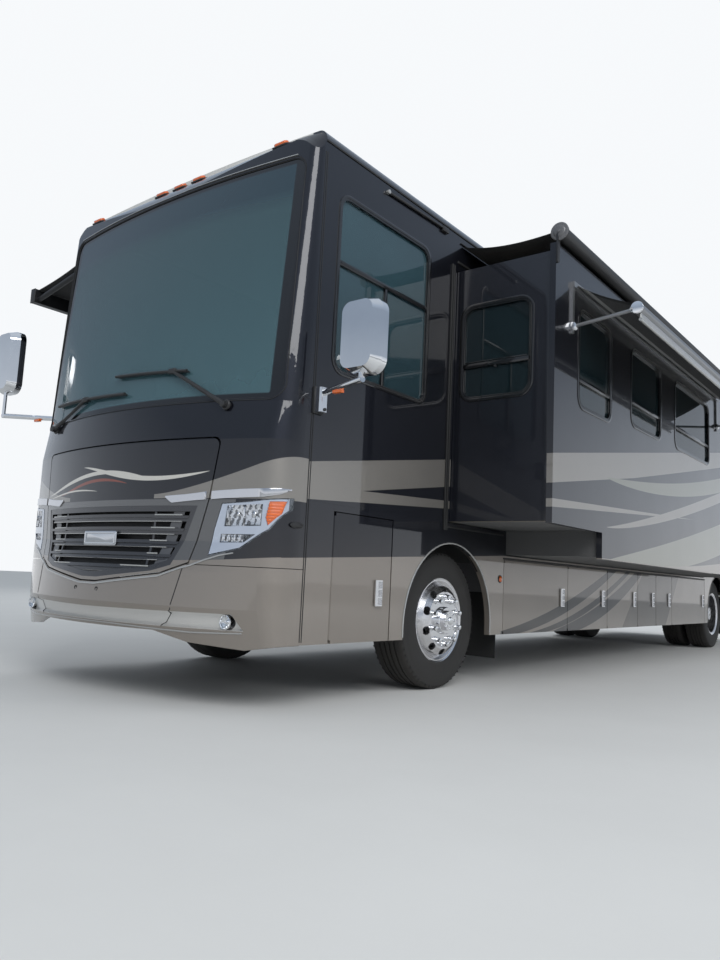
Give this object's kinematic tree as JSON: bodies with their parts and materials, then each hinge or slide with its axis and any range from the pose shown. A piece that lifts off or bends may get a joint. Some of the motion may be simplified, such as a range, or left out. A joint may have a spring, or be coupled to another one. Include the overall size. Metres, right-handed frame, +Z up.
{
  "type": "motorhome",
  "caption": "Long diesel motorhome with a bowed front, one full-wall slide-out room, awnings, side-hinged storage doors and steered front wheels.",
  "frame": {"origin": "on the ground under the middle of the overall box, with the slide-out room and awnings out", "axes": "+Y runs from the nose to the tail, +X to the vehicle's left side, where the slide-out room is, +Z up"},
  "size_m": [4.7379, 12.3508, 3.82],
  "materials": {
    "upper_paint": "gloss metallic near-black",
    "lower_paint": "gloss metallic taupe",
    "frame_black": "satin black chassis paint",
    "floor_grey": "grey",
    "roof_white": "white moulded",
    "clear_glass": "tinted glass",
    "lamp": "clear lens over chrome",
    "chrome": "polished",
    "black_trim": "black",
    "grille_metal": "silver grey bars",
    "dash": "dark moulded",
    "seat_leather": "tan",
    "flap_rubber": "black",
    "awning_metal": "grey coated",
    "awning_cloth": "black woven",
    "tyre_rubber": "black",
    "wheel_metal": "polished"
  },
  "bodies": {
    "coach": {"axles": "frame_black", "body_windows": "clear_glass", "cabin_floor": "floor_grey", "chassis_frame": "frame_black", "cockpit_seats": "seat_leather", "dashboard": "dash", "engine": "frame_black", "entry_awning": "awning_metal", "entry_awning_fabric": "awning_cloth", "entry_steps": "floor_grey", "front_bumper": "lower_paint", "front_cap": "upper_paint", "headlamp_lenses": "clear_glass", "lamps": "lamp", "mirrors": "chrome", "mud_flaps": "flap_rubber", "rear_cap": "upper_paint", "roof": "roof_white", "roof_air_conditioners": "roof_white", "side_skirts_left": "upper_paint", "side_wall_left": "upper_paint", "side_wall_right": "upper_paint", "storage_bay_rear": "floor_grey", "storage_bays": "floor_grey", "windshield": "clear_glass", "wipers": "black_trim"},
    "slide_room": {"slide_outer_wall": "upper_paint", "slide_shell": "upper_paint", "slide_floor": "floor_grey", "slide_windows": "clear_glass", "topper_roller": "black_trim", "topper_fabric": "awning_cloth", "window_awning": "awning_metal", "window_awning_fabric": "awning_cloth"},
    "hood": {"hood_door": "lower_paint", "grille": "grille_metal"},
    "entry": {"entry_door": "upper_paint", "entry_door_window": "clear_glass"},
    "engine_hatch": {"engine_door": "lower_paint"},
    "steer_left": {"knuckle_left": "frame_black"},
    "steer_right": {"knuckle_right": "frame_black"},
    "front_wheel_left": {"front_tyre_left": "tyre_rubber", "front_rim_left": "wheel_metal"},
    "front_wheel_right": {"front_tyre_right": "tyre_rubber", "front_rim_right": "wheel_metal"},
    "rear_wheels_left": {"rear_tyres_left": "tyre_rubber", "rear_rims_left": "wheel_metal"},
    "rear_wheels_right": {"rear_tyres_right": "tyre_rubber", "rear_rims_right": "wheel_metal"},
    "bay_left_1": {"bay_door_left_1": "lower_paint"},
    "bay_left_2": {"bay_door_left_2": "lower_paint"},
    "bay_left_3": {"bay_door_left_3": "lower_paint"},
    "bay_left_4": {"bay_door_left_4": "lower_paint"},
    "bay_left_5": {"bay_door_left_5": "lower_paint"},
    "bay_left_6": {"bay_door_left_6": "lower_paint"},
    "bay_left_front": {"bay_door_left_front": "lower_paint"},
    "bay_right_1": {"bay_door_right_1": "lower_paint"},
    "bay_right_2": {"bay_door_right_2": "lower_paint"},
    "bay_right_3": {"bay_door_right_3": "lower_paint"},
    "bay_right_4": {"bay_door_right_4": "lower_paint"}
  },
  "joints": [
    {"name": "slide_out", "type": "slide", "parent": "coach", "child": "slide_room", "axis": [1, 0, 0], "range_m": [-0.76, 0], "deforming": ["topper_fabric"]},
    {"name": "hood_hinge", "type": "hinge", "parent": "coach", "child": "hood", "pos_m": [-0.239, -5.98395, 1.7], "axis": [-1, 0, 0], "range_deg": [0, 70]},
    {"name": "entry_door_hinge", "type": "hinge", "parent": "coach", "child": "entry", "pos_m": [-1.5225, -5.4855, 1.5], "axis": [0, 0, 1], "range_deg": [0, 100]},
    {"name": "engine_hatch_hinge", "type": "hinge", "parent": "coach", "child": "engine_hatch", "pos_m": [-0.239, 6.168, 1.9], "axis": [1, 0, 0], "range_deg": [0, 80]},
    {"name": "steering", "type": "hinge", "parent": "coach", "child": "steer_left", "pos_m": [0.661, -4.0155, 0.492], "axis": [0, 0, 1], "range_deg": [-45, 45]},
    {"name": "steering_right", "type": "hinge", "parent": "coach", "child": "steer_right", "pos_m": [-1.139, -4.0155, 0.492], "axis": [0, 0, 1], "range_deg": [-45, 45]},
    {"name": "front_left_spin", "type": "hinge", "parent": "steer_left", "child": "front_wheel_left", "pos_m": [0.831, -4.0155, 0.492], "axis": [1, 0, 0], "continuous": true},
    {"name": "front_right_spin", "type": "hinge", "parent": "steer_right", "child": "front_wheel_right", "pos_m": [-1.309, -4.0155, 0.492], "axis": [1, 0, 0], "continuous": true},
    {"name": "rear_left_spin", "type": "hinge", "parent": "coach", "child": "rear_wheels_left", "pos_m": [0.666, 3.5245, 0.492], "axis": [1, 0, 0], "continuous": true},
    {"name": "rear_right_spin", "type": "hinge", "parent": "coach", "child": "rear_wheels_right", "pos_m": [-1.144, 3.5245, 0.492], "axis": [1, 0, 0], "continuous": true},
    {"name": "bay_left_front_hinge", "type": "hinge", "parent": "coach", "child": "bay_left_front", "pos_m": [1.0445, -5.3605, 0.67], "axis": [0, 0, -1], "range_deg": [0, 100]},
    {"name": "bay_left_1_hinge", "type": "hinge", "parent": "coach", "child": "bay_left_1", "pos_m": [1.0445, -3.2055, 0.67], "axis": [0, 0, -1], "range_deg": [0, 100]},
    {"name": "bay_left_2_hinge", "type": "hinge", "parent": "coach", "child": "bay_left_2", "pos_m": [1.0445, -1.9315, 0.67], "axis": [0, 0, -1], "range_deg": [0, 100]},
    {"name": "bay_left_3_hinge", "type": "hinge", "parent": "coach", "child": "bay_left_3", "pos_m": [1.0445, -0.9265, 0.67], "axis": [0, 0, -1], "range_deg": [0, 100]},
    {"name": "bay_left_4_hinge", "type": "hinge", "parent": "coach", "child": "bay_left_4", "pos_m": [1.0445, 0.0055, 0.67], "axis": [0, 0, -1], "range_deg": [0, 100]},
    {"name": "bay_left_5_hinge", "type": "hinge", "parent": "coach", "child": "bay_left_5", "pos_m": [1.0445, 0.6485, 0.67], "axis": [0, 0, -1], "range_deg": [0, 100]},
    {"name": "bay_left_6_hinge", "type": "hinge", "parent": "coach", "child": "bay_left_6", "pos_m": [1.0445, 1.2685, 0.67], "axis": [0, 0, -1], "range_deg": [0, 100]},
    {"name": "bay_right_1_hinge", "type": "hinge", "parent": "coach", "child": "bay_right_1", "pos_m": [-1.5225, -3.3255, 0.67], "axis": [0, 0, 1], "range_deg": [0, 100]},
    {"name": "bay_right_2_hinge", "type": "hinge", "parent": "coach", "child": "bay_right_2", "pos_m": [-1.5225, -1.8155, 0.67], "axis": [0, 0, 1], "range_deg": [0, 100]},
    {"name": "bay_right_3_hinge", "type": "hinge", "parent": "coach", "child": "bay_right_3", "pos_m": [-1.5225, -0.3155, 0.67], "axis": [0, 0, 1], "range_deg": [0, 100]},
    {"name": "bay_right_4_hinge", "type": "hinge", "parent": "coach", "child": "bay_right_4", "pos_m": [-1.5225, 1.1845, 0.67], "axis": [0, 0, 1], "range_deg": [0, 100]}
  ],
  "couplings": [
    {"joint": "steering_right", "follows": "steering", "ratio": 1}
  ]
}
